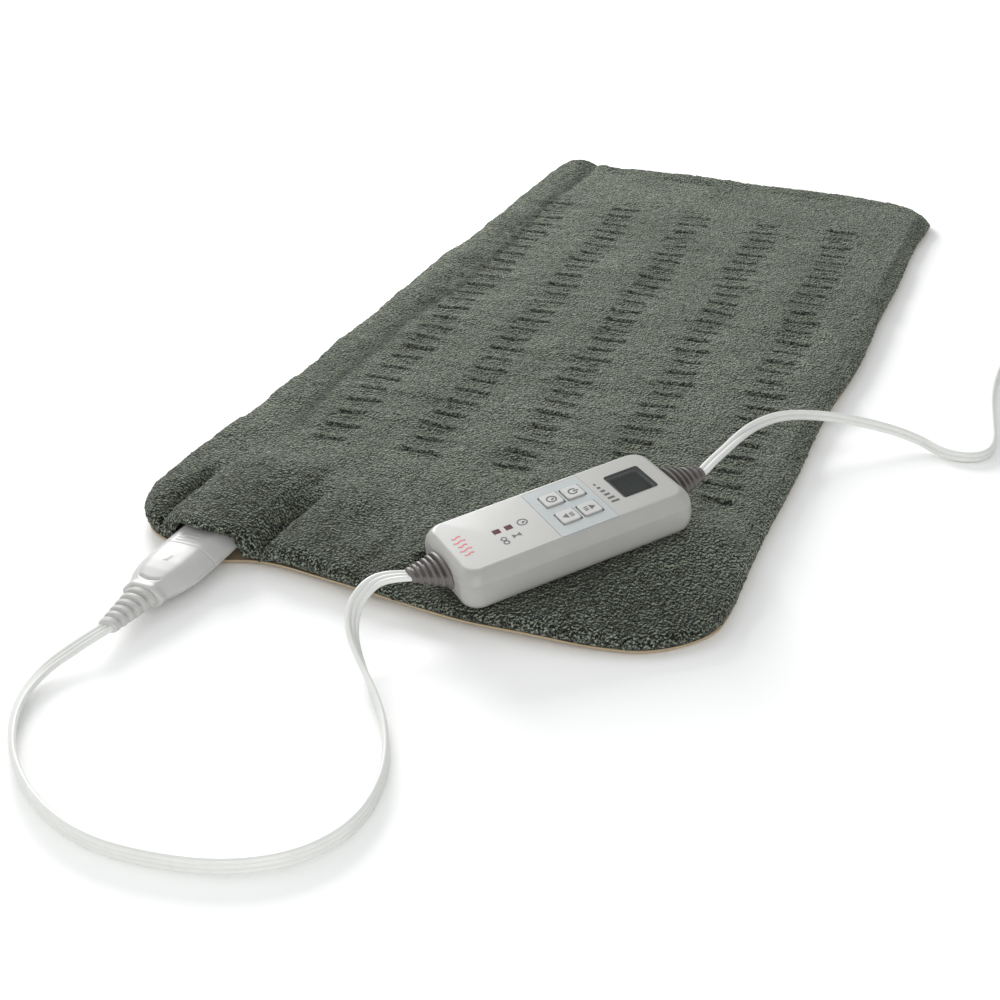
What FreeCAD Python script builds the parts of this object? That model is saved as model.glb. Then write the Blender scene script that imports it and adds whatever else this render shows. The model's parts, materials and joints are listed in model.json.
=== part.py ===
"""Electric heating pad with a plug-in lead, an in-line hand controller and a mains plug.

Millimetres. The origin is the centre of the pad's underside, +Y runs along the pad away from the
edge where the lead plugs in, +X runs across it and +Z is up. Each piece is one STEP file in parts/.
"""
import FreeCAD, Part
import math
import os

V = FreeCAD.Vector
os.makedirs("parts", exist_ok=True)

# ---- pad ----
pad_width, pad_length, pad_thick = 305.0, 610.0, 11.5
pad_corner_r = 26.0
back_thick = 1.6            # tan backing cloth
cover_wall = 2.9            # plush top cover, pile pressed down
cover_side = 6.0            # turned-in seam all round
carrier_width, carrier_length, carrier_thick = 256.0, 522.0, 1.2
carrier_turn_deg = 3.3      # the inner sheet sits a little askew in the cover
carrier_centre = V(3.5, 12.0, 0)
wire_d = 2.0
run_pitch, run_count, run_half = 15.5, 28, 116.0
first_run_y = -237.0
tack_columns, tack_pitch_x = 5, 54.25
tack_length, tack_width = 20.0, 2.0
cutout_d, cutout_length = 4.6, 18.0

# ---- socket in the pad and the connector that plugs into it ----
socket_x, socket_back_y, socket_mouth_y = -98.0, -260.0, -286.0
socket_width, socket_low, socket_high, socket_wall = 35.0, 1.7, 18.1, 2.6
lobe_width, lobe_back_y, lobe_top = 62.0, -252.0, 21.2
nose_width, nose_height, nose_length = 28.4, 10.8, 12.6
pin_count, pin_pitch, pin_d, pin_length = 4, 6.0, 1.8, 10.5
connector_width, connector_low, connector_high = 34.0, 2.0, 17.6
connector_back_y, connector_split_y, connector_neck_y = -286.6, -326.0, -362.0
connector_tip_y = -388.0
connector_slope = (0.48, 0.84)          # share of its half width and half height that slopes
handle_sections = ((34.0, 15.6, -326.0), (34.0, 15.6, -334.0), (33.0, 15.4, -341.0), (29.5, 14.6, -348.0),
                   (23.5, 13.0, -354.5), (21.5, 12.4, -357.5), (23.5, 13.0, -360.0), (20.5, 12.0, -362.0))

# ---- hand controller, in its own frame: u along, v across, w up from its underside ----
case_length, case_width, case_height = 121.0, 52.0, 21.0
case_mid_u = -0.8           # the case's middle, from the keypad's origin
case_split_w, case_wall = 14.2, 2.0
case_corner_r = 9.0
# height (the crown's is down from the top), and how much shorter and narrower the case is there
case_foot = ((0.0, 9.0, 10.0), (1.2, 5.0, 5.6), (2.8, 2.4, 2.8), (5.0, 0.8, 1.0))
case_belt = ((8.5, 0.0, 0.0), (case_split_w, 0.4, 0.4))
case_crown = ((4.2, 1.6, 1.8), (2.2, 4.0, 4.4), (0.8, 7.0, 7.4), (0.0, 10.0, 10.4))
case_heading_deg, case_pitch_deg, case_roll_deg = 50.3, 5.5, 1.0
case_top_centre = V(68.8, -261.5, 38.6)
panel_centre_u, panel_centre_v, panel_length, panel_width, panel_thick = 5.2, -0.6, 29.6, 40.6, 0.8
key_size, key_stand, key_travel = 9.6, 0.7, 0.8
key_places = {"key_power": (11.9, 8.1), "key_auto_off": (0.5, 8.1),
              "key_heat_up": (11.9, -8.1), "key_heat_down": (0.5, -8.1)}
lcd_centre_u, lcd_centre_v, lcd_length, lcd_width = 39.0, 0.5, 18.4, 20.4
led_places = ((-26.4, 0.0), (-32.6, 0.0))
board_low, board_thick = 9.4, 1.6
relief_w = 11.4             # height of both strain reliefs' axes above the underside
relief_root = (26.0, 14.4)
relief_tip_size = (8.6, 5.6)
relief_bends = {-1: (15.7, -3.0, 1.6), 1: (18.8, 0.0, 0.0)}    # length, and the tip's lean and lift
relief_neck, relief_collar = (14.6, 8.6), (19.0, 9.0)
screw_places = ((-44.0, 17.0), (-44.0, -17.0), (50.0, 17.5), (50.0, -17.5))
board_posts = ((-38.0, 17.0), (-38.0, -17.0), (26.0, 19.0), (26.0, -19.0))

# ---- free cords ----
loop_d = 5.0                # round tube of the flat 7.5 x 2.8 cord's section
mains_d = 4.5               # round tube of the flat 5.8 x 2.8 cord's section
cord_gap = 1.9              # between a cord's tube and the controller's strain relief
coil_centre = V(276.0, 108.0, 0)
coil_inner_r, coil_outer_r, coil_low, coil_high = 28.9, 41.8, 0.9, 13.1
plug_length, plug_width, plug_height = 31.0, 24.0, 13.4
plug_mouth = V(317.5, 58.0, 6.7)
blade_length, blade_width, blade_thick, blade_gap = 16.5, 6.3, 1.5, 12.7


def save(node, shape):
    shape.exportStep("parts/%s.step" % node)
    print("%-22s solids %3d  volume %10.1f" % (node, len(shape.Solids), shape.Volume))


def box(x0, x1, y0, y1, z0, z1):
    return Part.makeBox(x1 - x0, y1 - y0, z1 - z0, V(x0, y0, z0))


def centred(cx, cy, sx, sy, z0, z1):
    return box(cx - sx / 2, cx + sx / 2, cy - sy / 2, cy + sy / 2, z0, z1)


def upright_edges(shape):
    return [e for e in shape.Edges if abs(e.tangentAt(e.FirstParameter).z) > 0.999]


def edges_at(shape, z):
    return [e for e in shape.Edges if all(abs(v.Point.z - z) < 1e-6 for v in e.Vertexes)]


def slab(cx, cy, sx, sy, z0, z1, corner_r, top_r=0.0, bottom_r=0.0):
    shape = centred(cx, cy, sx, sy, z0, z1)
    shape = shape.makeFillet(corner_r, upright_edges(shape))
    if top_r:
        shape = shape.makeFillet(top_r, edges_at(shape, z1))
    if bottom_r:
        shape = shape.makeFillet(bottom_r, edges_at(shape, z0))
    return shape


def rod(start, end, d):
    return Part.makeCylinder(d / 2, (end - start).Length, start, end - start)


def pipe(start, end, d_out, d_in):
    return rod(start, end, d_out).cut(rod(start, end, d_in))


def tube(name, points, d):
    """Round tube: straight runs, joined by the largest arc that each corner's two runs allow."""
    edges, here, radii = [], points[0], []
    for before, corner, after in zip(points, points[1:], points[2:]):
        inward, outward = corner - before, after - corner
        turn = inward.getAngle(outward)
        radius = 0.45 * min(inward.Length, outward.Length) / math.tan(turn / 2)
        setback = radius * math.tan(turn / 2)
        into = corner - inward.normalize() * setback
        out = corner + outward.normalize() * setback
        bisector = (into + out) * 0.5 - corner
        centre = corner + bisector.normalize() * (radius / math.cos(turn / 2))
        middle = centre + (corner - centre).normalize() * radius
        edges += [Part.LineSegment(here, into).toShape(), Part.Arc(into, middle, out).toShape()]
        here = out
        radii.append(radius)
    edges.append(Part.LineSegment(here, points[-1]).toShape())
    path = Part.Wire(edges)
    ring = Part.Wire(Part.makeCircle(d / 2, points[0], points[1] - points[0]))
    shape = path.makePipeShell([ring], True, False)
    print("%-12s length %7.1f  radii %5.1f to %6.1f  volume / (section x length) %.4f" % (
        name, path.Length, min(radii), max(radii),
        shape.Volume / (math.pi * d * d / 4 * path.Length)))
    return shape


# ---- the pad ----
def carrier_place(shape):
    """Puts a shape drawn square about the carrier's centre where the carrier lies."""
    shape.Placement = FreeCAD.Placement(
        carrier_centre, FreeCAD.Rotation(V(0, 0, 1), carrier_turn_deg)).multiply(shape.Placement)
    return shape


def carrier_point(x, y, z):
    return carrier_centre + FreeCAD.Rotation(V(0, 0, 1), carrier_turn_deg).multVec(V(x, y, z))


wire_low = back_thick + carrier_thick
wire_mid = wire_low + wire_d / 2
wire_high = wire_low + wire_d
last_run_y = first_run_y + (run_count - 1) * run_pitch
supply_end = V(socket_x - 7, socket_back_y, wire_mid)
return_end = V(socket_x - 13, socket_back_y, wire_mid)
return_x = -132.0                       # the return lead runs down beside the heating runs
cutout_places = (95.0, -70.0)           # middle of each thermal cut-out, along the return lead


def return_point(y):
    return carrier_point(return_x, y, wire_mid)


def cover_top():
    front = -pad_length / 2
    shape = slab(0, 0, pad_width, pad_length, back_thick, pad_thick, pad_corner_r, top_r=5.0)
    lobe = centred(socket_x, (front + lobe_back_y) / 2, lobe_width, lobe_back_y - front,
                   back_thick, lobe_top)
    lobe = lobe.makeFillet(8.0, upright_edges(lobe))
    lobe = lobe.makeChamfer(3.0, edges_at(lobe, lobe_top))
    shape = shape.fuse(lobe).removeSplitter()
    inner = slab(0, 0, pad_width - 2 * cover_side, pad_length - 2 * cover_side,
                 back_thick - 1, pad_thick - cover_wall, pad_corner_r - cover_side)
    room = box(socket_x - socket_width / 2 - 0.6, socket_x + socket_width / 2 + 0.6,
               socket_mouth_y - 0.2, lobe_back_y - 3.0, back_thick - 1, socket_high + 0.4)
    mouth = box(socket_x - connector_width / 2 - 0.6, socket_x + connector_width / 2 + 0.6,
                front - 1, socket_mouth_y + 1, back_thick - 1, connector_high + 0.6)
    return shape.cut(inner.fuse([room, mouth]))


def cover_back():
    return slab(0, 0, pad_width, pad_length, 0, back_thick, pad_corner_r)


def carrier(low):
    return carrier_place(slab(0, 0, carrier_width, carrier_length, low, low + carrier_thick, 14))


def padding_sheet():
    low, high = wire_high + carrier_thick, pad_thick - cover_wall
    return carrier_place(slab(0, 0, carrier_width - 8, carrier_length - 8, low, high, 12))


def carrier_tacks():
    bars = []
    for column in range(tack_columns):
        x = (column - (tack_columns - 1) / 2) * tack_pitch_x
        for gap in range(run_count - 1):
            y = first_run_y + (gap + 0.5) * run_pitch
            bars.append(centred(x, y, tack_length, tack_width, wire_low, wire_high))
    return carrier_place(Part.makeCompound(bars))


def heating_wire():
    edges = []
    for run in range(run_count):
        y = first_run_y + run * run_pitch
        side = 1 if run % 2 == 0 else -1    # the side on which this run ends
        start, end = V(-side * run_half, y, wire_mid), V(side * run_half, y, wire_mid)
        edges.append(Part.LineSegment(start, end).toShape())
        if run < run_count - 1:
            bulge = V(side * (run_half + run_pitch / 2), y + run_pitch / 2, wire_mid)
            edges.append(Part.Arc(end, bulge, end + V(0, run_pitch, 0)).toShape())
    path = Part.Wire(edges)
    ring = Part.Wire(Part.makeCircle(wire_d / 2, V(-run_half, first_run_y, wire_mid), V(1, 0, 0)))
    shape = path.makePipeShell([ring], True, False)
    print("heating wire length %.0f" % path.Length)
    return carrier_place(shape)


def supply_lead():
    start = carrier_point(-run_half, first_run_y, wire_mid)
    points = [supply_end, supply_end + V(0, 9, 0), start + V(-9, -14, 0), start + V(-9, -1, 0), start]
    return tube("supply lead", points, wire_d)


def return_lead():
    """Three spans, butted to the two cut-outs that they run between."""
    half = cutout_length / 2
    end = carrier_point(-run_half, last_run_y, wire_mid)
    corner = return_point(last_run_y)
    first = [end, corner, return_point(last_run_y - 24)]
    shapes = [tube("return a", first, wire_d)]
    shapes.append(rod(first[-1], return_point(cutout_places[0] + half), wire_d))
    shapes.append(rod(return_point(cutout_places[0] - half), return_point(cutout_places[1] + half), wire_d))
    foot = return_point(first_run_y + 14)
    shapes.append(rod(return_point(cutout_places[1] - half), foot, wire_d))
    down = (foot - return_point(first_run_y + 40)).normalize()
    points = [foot, foot + down * 13, return_end + V(0, 12, 0), return_end]
    shapes.append(tube("return b", points, wire_d))
    return Part.makeCompound(shapes)


def thermal_cutouts():
    half = cutout_length / 2
    lift = V(0, 0, (cutout_d - wire_d) / 2)
    return Part.makeCompound([rod(return_point(y - half) + lift, return_point(y + half) + lift, cutout_d)
                              for y in cutout_places])


# ---- the pad's socket ----
socket_mid = (connector_low + connector_high) / 2


def socket_hollow():
    return box(socket_x - nose_width / 2 - 0.5, socket_x + nose_width / 2 + 0.5,
               socket_mouth_y - 1, socket_mouth_y + nose_length + 1.2,
               socket_mid - nose_height / 2 - 0.5, socket_mid + nose_height / 2 + 0.5)


def socket_shell(z0, z1):
    shape = centred(socket_x, (socket_back_y + socket_mouth_y) / 2, socket_width,
                    socket_back_y - socket_mouth_y, z0, z1)
    shape = shape.makeFillet(2.0, upright_edges(shape))
    pin_back = socket_mouth_y + nose_length + 1.2
    seats = [rod(V(pin_x(i), pin_back - 1, socket_mid), V(pin_x(i), pin_back + 5, socket_mid), pin_d)
             for i in range(pin_count)]
    return shape.cut([socket_hollow()] + seats)


def pin_x(index):
    return socket_x + (index - (pin_count - 1) / 2) * pin_pitch


def socket_pins():
    back = socket_mouth_y + nose_length + 1.2 + 5
    front = back - 5 - pin_length
    return Part.makeCompound([rod(V(pin_x(i), back, socket_mid), V(pin_x(i), front, socket_mid), pin_d)
                              for i in range(pin_count)])


# ---- the connector on the lead ----
def ring_section(width, height, y):
    """Eight-sided wire across the lead at y, for lofts: long slopes between its top and its sides."""
    w, h = width / 2, height / 2
    top_w, side_h = w * (1 - connector_slope[0]), h * (1 - connector_slope[1])
    right = [(top_w, h), (w, side_h), (w, -side_h), (top_w, -h)]
    flat = right + [(-a, b) for a, b in reversed(right)]
    points = [V(socket_x + a, y, socket_mid + b) for a, b in flat]
    return Part.makePolygon(points + points[:1])


def contact_hole(index, d):
    return rod(V(pin_x(index), connector_back_y + nose_length + 1, socket_mid),
               V(pin_x(index), connector_back_y - 8, socket_mid), d)


def connector_nose():
    height = connector_high - connector_low
    block = Part.makeLoft([ring_section(connector_width, height, connector_back_y),
                           ring_section(connector_width, height, connector_split_y)], True, True)
    nose = centred(socket_x, connector_back_y + nose_length / 2, nose_width, nose_length,
                   socket_mid - nose_height / 2, socket_mid + nose_height / 2)
    nose = nose.makeFillet(1.2, [e for e in nose.Edges if abs(e.tangentAt(e.FirstParameter).y) > 0.99])
    return block.fuse(nose).removeSplitter().cut([contact_hole(i, 3.2) for i in range(pin_count)])


def connector_contacts():
    shapes = []
    for i in range(pin_count):
        front = V(pin_x(i), connector_back_y + nose_length - 0.5, socket_mid)
        back = V(pin_x(i), connector_back_y - 8, socket_mid)
        bore = rod(front, front - V(0, pin_length + 2, 0), 2.4)
        shapes.append(rod(front, back, 3.2).cut(bore))
    return Part.makeCompound(shapes)


def connector_handle():
    parts = [Part.makeLoft([ring_section(*a), ring_section(*b)], True, True)
             for a, b in zip(handle_sections, handle_sections[1:])]
    return parts[0].fuse(parts[1:]).removeSplitter()


def ribbed_relief(length, wide, high, tip_wide, tip_high, ribs, lean=0.0, lift=0.0):
    """Tapered strain relief along -Y from the origin, with grooves cut round it.

    lean and lift are how far its tip stands to +X and +Z of the axis."""
    def oval(w, h, y):
        ellipse = Part.Ellipse(V(0, y, 0), w / 2, h / 2)
        wire = Part.Wire(ellipse.toShape())
        wire.rotate(V(0, y, 0), V(1, 0, 0), 90)
        wire.translate(V(-lean * y / length, 0, -lift * y / length))
        return wire
    shape = Part.makeLoft([oval(wide, high, 0), oval(tip_wide, tip_high, -length)], True, True)
    step = length / (ribs + 1)
    for rib in range(ribs):
        y = -step * (rib + 0.75)
        scale = 1 + y / length
        w = tip_wide + (wide - tip_wide) * scale
        h = tip_high + (high - tip_high) * scale
        ring = Part.makeLoft([oval(w + 6, h + 6, y), oval(w + 6, h + 6, y - step * 0.4)], True, True)
        core = Part.makeLoft([oval(w * 0.78, h * 0.74, y + 0.1),
                              oval(w * 0.78, h * 0.74, y - step * 0.4 - 0.1)], True, True)
        shape = shape.cut(ring.cut(core))
    return shape


def connector_relief():
    shape = ribbed_relief(connector_neck_y - connector_tip_y, 17.0, 11.6, 10.0, 6.4, 4)
    shape.translate(V(socket_x, connector_neck_y, socket_mid))
    return shape


# ---- the hand controller ----
def case_rotation():
    turn = FreeCAD.Rotation(V(0, 0, 1), case_heading_deg)
    pitch = FreeCAD.Rotation(V(0, 1, 0), -case_pitch_deg)
    roll = FreeCAD.Rotation(V(1, 0, 0), case_roll_deg)
    return turn.multiply(pitch).multiply(roll)


case_base = case_top_centre - case_rotation().multVec(V(0, 0, case_height))


def case_place(shape):
    shape.Placement = FreeCAD.Placement(case_base, case_rotation()).multiply(shape.Placement)
    return shape


def case_point(u, v, w):
    return case_base + case_rotation().multVec(V(u, v, w))


def rounded_outline(length, width, corner_r, w):
    """Rounded rectangle wire about the case's long axis, for lofts."""
    flat = slab(case_mid_u, 0, length, width, w, w + 1, corner_r)
    return min(flat.Faces, key=lambda face: face.CenterOfMass.z).OuterWire


def case_block(inset):
    """Outer or inner form of the case: rounded plan, rounded underside, sloped shoulders."""
    sections = [(w + inset, long, wide) for w, long, wide in case_foot] + list(case_belt)
    sections += [(case_height - inset - down, long, wide) for down, long, wide in case_crown]
    wires = [rounded_outline(case_length - 2 * inset - less_long, case_width - 2 * inset - less_wide,
                             case_corner_r - inset * 0.6 - less_wide * 0.25, w)
             for w, less_long, less_wide in sections]
    return Part.makeLoft(wires, True, True)


def relief_slots():
    """Oval holes in both end walls for the necks of the strain reliefs."""
    reach = case_length / 2 + 2
    neck = slab(0, 0, relief_neck[0] + 0.6, relief_neck[1] + 0.6, -reach, reach, 4.0)
    neck.rotate(V(0, 0, 0), V(0, 1, 0), 90)
    neck.rotate(V(0, 0, 0), V(1, 0, 0), 90)
    neck.translate(V(case_mid_u, 0, relief_w))
    hollow = box(case_mid_u - case_length / 2 + 6, case_mid_u + case_length / 2 - 6, -30, 30, -30, 60)
    return neck.cut(hollow)


def case_top():
    shape = case_block(0).cut([case_block(case_wall), box(-90, 90, -60, 60, -5, case_split_w)])
    top = case_height
    panel_seat = slab(panel_centre_u, panel_centre_v, panel_length + 0.2, panel_width + 0.2,
                      top - panel_thick, top + 2, 1.2)
    cuts = [panel_seat, relief_slots()]
    for u, v in key_places.values():
        cuts.append(centred(u, v, key_size + 0.8, key_size + 0.8, top - 4, top + 1))
    cuts.append(slab(lcd_centre_u, lcd_centre_v, lcd_length + 0.2, lcd_width + 0.2, top - 1.2, top + 1, 1.4))
    cuts.append(centred(lcd_centre_u, lcd_centre_v, lcd_length - 3.2, lcd_width - 3.2, top - 4, top + 1))
    for u, v in led_places:
        cuts.append(centred(u, v, 3.6, 3.6, top - 4, top + 1))
    shape = shape.cut(cuts)
    posts = [pipe(V(u, v, case_split_w), V(u, v, top - case_wall), 6.0, 2.2) for u, v in screw_places]
    return shape.fuse(posts).removeSplitter()


def case_bottom():
    shape = case_block(0).common(box(-90, 90, -60, 60, -5, case_split_w))
    shape = shape.cut([case_block(case_wall), relief_slots()])
    posts = [rod(V(u, v, 1), V(u, v, case_split_w), 6.4) for u, v in screw_places]
    posts += [rod(V(u, v, 1), V(u, v, board_low), 4.0) for u, v in board_posts]
    shape = shape.fuse(posts).removeSplitter()
    holes = [rod(V(u, v, -1), V(u, v, case_split_w + 1), 3.0) for u, v in screw_places]
    holes += [rod(V(u, v, -1), V(u, v, 4.5), 5.4) for u, v in screw_places]
    return shape.cut(holes)


def case_screws():
    shapes = []
    for u, v in screw_places:
        head = rod(V(u, v, 2.4), V(u, v, 4.5), 5.0)
        cross = [centred(u, v, 3.0, 0.7, 2.0, 3.3), centred(u, v, 0.7, 3.0, 2.0, 3.3)]
        shapes.append(head.fuse(rod(V(u, v, 4.5), V(u, v, case_height - case_wall - 0.6), 2.2)).cut(cross))
    return Part.makeCompound(shapes)


def keypad_panel():
    top = case_height
    shape = slab(panel_centre_u, panel_centre_v, panel_length, panel_width, top - panel_thick, top, 1.1)
    return shape.cut([centred(u, v, key_size + 0.8, key_size + 0.8, top - 2, top + 1)
                      for u, v in key_places.values()])


flange_top = case_height - case_wall - 0.35


def key(place):
    u, v = place
    cap = slab(u, v, key_size, key_size, flange_top - 0.1, case_height + key_stand, 1.6, top_r=0.5)
    flange = centred(u, v, key_size + 1.4, key_size + 3.2, flange_top - 1.0, flange_top)
    stem = rod(V(u, v, key_foot), V(u, v, flange_top - 0.9), 4.0)
    return cap.fuse([flange, stem]).removeSplitter()


board_top = board_low + board_thick
switch_height, actuator_height = 3.2, 0.5
key_foot = board_top + switch_height + actuator_height + key_travel + 0.4


def tact_switches():
    shapes = []
    for u, v in key_places.values():
        body = centred(u, v, 6.0, 6.0, board_top, board_top + switch_height)
        shapes.append(body.fuse(rod(V(u, v, board_top + switch_height),
                                    V(u, v, board_top + switch_height + actuator_height), 3.2)))
    return Part.makeCompound(shapes)


def main_board():
    return centred(2.5, 0, 83.0, 42.0, board_low, board_top)


def lcd_module():
    glass = centred(lcd_centre_u, lcd_centre_v, lcd_length, lcd_width, 15.2, 17.4)
    return glass.fuse(centred(lcd_centre_u, lcd_centre_v, lcd_length - 3.0, 3.0, board_top, 15.2))


def lcd_window():
    return slab(lcd_centre_u, lcd_centre_v, lcd_length, lcd_width, case_height - 1.2, case_height + 0.25, 1.3)


def indicator_windows():
    return Part.makeCompound([centred(u, v, 3.4, 3.4, case_height - case_wall, case_height - 0.1)
                              for u, v in led_places])


def indicator_leds():
    return Part.makeCompound([rod(V(u, v, board_top), V(u, v, case_height - case_wall - 0.5), 3.0)
                              for u, v in led_places])


def control_chip():
    return centred(-15.0, 10.0, 12.0, 9.0, board_top, board_top + 1.6)


def triac():
    body = centred(-15.0, -10.0, 10.0, 4.6, board_top, board_top + 5.4)
    return body.fuse(centred(-15.0, -7.1, 10.0, 1.3, board_top, board_top + 5.4))


def suppression_capacitor():
    return centred(-38.0, 0.0, 5.0, 13.0, board_top, board_top + 6.2)


def board_fuse():
    return rod(V(-24.0, -16.0, board_top + 1.8), V(-4.0, -16.0, board_top + 1.8), 3.6)


def relief_tip(side):
    length, lean, lift = relief_bends[side]
    return case_point(case_mid_u + side * (case_length / 2 + length), side * lean, relief_w + lift)


def case_relief(side):
    """side -1 is the pad-cord end, +1 the mains end. A flange inside the wall holds it in."""
    length, lean, lift = relief_bends[side]
    relief = ribbed_relief(length, *relief_root, *relief_tip_size, 4, lean, lift)
    relief.rotate(V(0, 0, 0), V(0, 0, 1), -90 if side < 0 else 90)
    end_u = case_mid_u + side * case_length / 2
    relief.translate(V(end_u, 0, relief_w))
    neck = slab(0, 0, *relief_neck, 0, case_wall + 3.0, 3.8)
    collar = slab(0, 0, *relief_collar, case_wall + 1.8, case_wall + 3.0, 4.0)
    stem = neck.fuse(collar)
    stem.rotate(V(0, 0, 0), V(0, 0, 1), 90)
    stem.rotate(V(0, 0, 0), V(0, 1, 0), 90 if side < 0 else -90)
    stem.translate(V(end_u, 0, relief_w))
    return relief.fuse(stem).removeSplitter()


# ---- free cords, their coil and the mains plug ----
def beside_tip(side, towards):
    """Where a cord starts: just clear of the strain relief, which is on another moving piece."""
    tip = relief_tip(side)
    return tip + (V(*towards) - tip).normalize() * cord_gap


def loop_route():
    between = [(-104, -402, 7.4), (-110, -421, 4.3), (-103, -447, 4), (-82, -472, 4), (-55, -490, 4),
               (-26, -498, 4), (3, -496, 4), (30, -489, 4), (52, -474, 4), (63, -451, 4), (60, -423, 4),
               (47, -397, 4), (31, -378, 4.6), (17, -364, 7.4), (7, -353, 12.4), (3, -342, 18.6),
               (4.5, -331.5, 22.8), (8.6, -324.2, 23.9)]
    start, end = V(socket_x, connector_tip_y, socket_mid), beside_tip(-1, between[-1])
    return [start] + [V(*p) for p in between] + [end]


def mains_route():
    between = [(120, -187, 35.6), (121.5, -168, 33), (123, -145, 30), (126, -121, 26), (134, -101, 23),
               (148, -86, 19), (167, -77, 15.4), (188, -68.5, 9.4), (205, -67.5, 5), (217, -74.5, 3.2),
               (231, -75, 3), (240.5, -67, 3), (242, -52, 3), (238, -28, 3), (233.5, 0, 3), (232, 30, 3),
               (233.5, 58, 3), (235.2, 82, 3.3)]
    at_coil = V(coil_centre.x - coil_outer_r + mains_d / 2, 100, 3.9)
    return [beside_tip(1, between[0])] + [V(*p) for p in between] + [at_coil]


def tail_route():
    start = V(coil_centre.x + coil_outer_r - mains_d / 2, 104, 10.2)
    return [start, V(316.6, 96, 9.4), V(317.6, 87, 7.4), plug_mouth + V(0, 18, 0)]


def mains_coil():
    section = Part.makePolygon([V(coil_inner_r, 0, coil_low), V(coil_outer_r, 0, coil_low),
                                V(coil_outer_r, 0, coil_high), V(coil_inner_r, 0, coil_high),
                                V(coil_inner_r, 0, coil_low)])
    ring = Part.Face(section).revolve(V(0, 0, 0), V(0, 0, 1), 360)
    ring.translate(coil_centre)
    return ring


def coil_tie():
    strap, slack, wide = 0.8, 0.45, 9.0
    outer = box(coil_inner_r - slack - strap, coil_outer_r + slack + strap, -wide / 2, wide / 2,
                coil_low - 0.1 - strap, coil_high + 0.1 + strap)
    inner = box(coil_inner_r - slack, coil_outer_r + slack, -wide, wide, coil_low - 0.1, coil_high + 0.1)
    tie = outer.cut(inner)
    tie.rotate(V(0, 0, 0), V(0, 0, 1), 62)
    tie.translate(coil_centre)
    return tie


def plug_body():
    """Lies flat, blades towards -Y; a ribbed relief takes the cord at the other end."""
    low = plug_mouth.z - plug_height / 2
    high = low + plug_height
    body = centred(plug_mouth.x, plug_mouth.y - plug_length / 2, plug_width, plug_length, low, high)
    body = body.makeFillet(4.5, upright_edges(body))
    body = body.makeChamfer(1.4, edges_at(body, high) + edges_at(body, low))
    relief = ribbed_relief(18.0, 13.0, 9.0, 7.4, 5.4, 4)
    relief.rotate(V(0, 0, 0), V(0, 0, 1), 180)
    relief.translate(plug_mouth - V(0, 0.5, 0))
    return body.fuse(relief).removeSplitter()


def plug_blades():
    face_y = plug_mouth.y - plug_length
    shapes = []
    for side in (-1, 1):
        x = plug_mouth.x + side * blade_gap / 2
        blade = box(x - blade_thick / 2, x + blade_thick / 2, face_y - blade_length, face_y,
                    plug_mouth.z - blade_width / 2, plug_mouth.z + blade_width / 2)
        hole_y = face_y - blade_length + 4
        hole = rod(V(x - 2, hole_y, plug_mouth.z), V(x + 2, hole_y, plug_mouth.z), 3.2)
        shapes.append(blade.cut(hole))
    return Part.makeCompound(shapes)


pad_nodes = {
    "cover_top": cover_top, "cover_back": cover_back, "carrier_lower": lambda: carrier(back_thick),
    "carrier_upper": lambda: carrier(wire_high), "carrier_tacks": carrier_tacks,
    "padding_sheet": padding_sheet,
    "heating_wire": heating_wire, "supply_lead": supply_lead, "return_lead": return_lead,
    "thermal_cutouts": thermal_cutouts, "socket_pins": socket_pins,
    "socket_lower": lambda: socket_shell(socket_low, socket_mid),
    "socket_upper": lambda: socket_shell(socket_mid, socket_high)}
lead_nodes = {
    "connector_nose": connector_nose, "connector_handle": connector_handle,
    "connector_contacts": connector_contacts, "connector_relief": connector_relief,
    "loop_cord": lambda: tube("loop cord", loop_route(), loop_d),
    "mains_cord": lambda: tube("mains cord", mains_route(), mains_d),
    "mains_cord_tail": lambda: tube("mains tail", tail_route(), mains_d),
    "mains_coil": mains_coil, "coil_tie": coil_tie, "plug_body": plug_body, "plug_blades": plug_blades}
case_nodes = {
    "case_top": case_top, "case_bottom": case_bottom, "case_screws": case_screws,
    "keypad_panel": keypad_panel, "tact_switches": tact_switches, "main_board": main_board,
    "lcd_module": lcd_module, "lcd_window": lcd_window, "indicator_windows": indicator_windows,
    "indicator_leds": indicator_leds, "control_chip": control_chip, "triac": triac,
    "suppression_capacitor": suppression_capacitor, "board_fuse": board_fuse,
    "case_relief_pad": lambda: case_relief(-1), "case_relief_mains": lambda: case_relief(1)}

for node, make in list(pad_nodes.items()) + list(lead_nodes.items()):
    save(node, make())
for node, make in case_nodes.items():
    save(node, case_place(make()))
for node, place in key_places.items():
    save(node, case_place(key(place)))
print("key axis", case_rotation().multVec(V(0, 0, -1)))
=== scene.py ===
import json
import math
import bmesh
import bpy
import numpy as np
from mathutils import Euler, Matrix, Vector, noise


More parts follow.
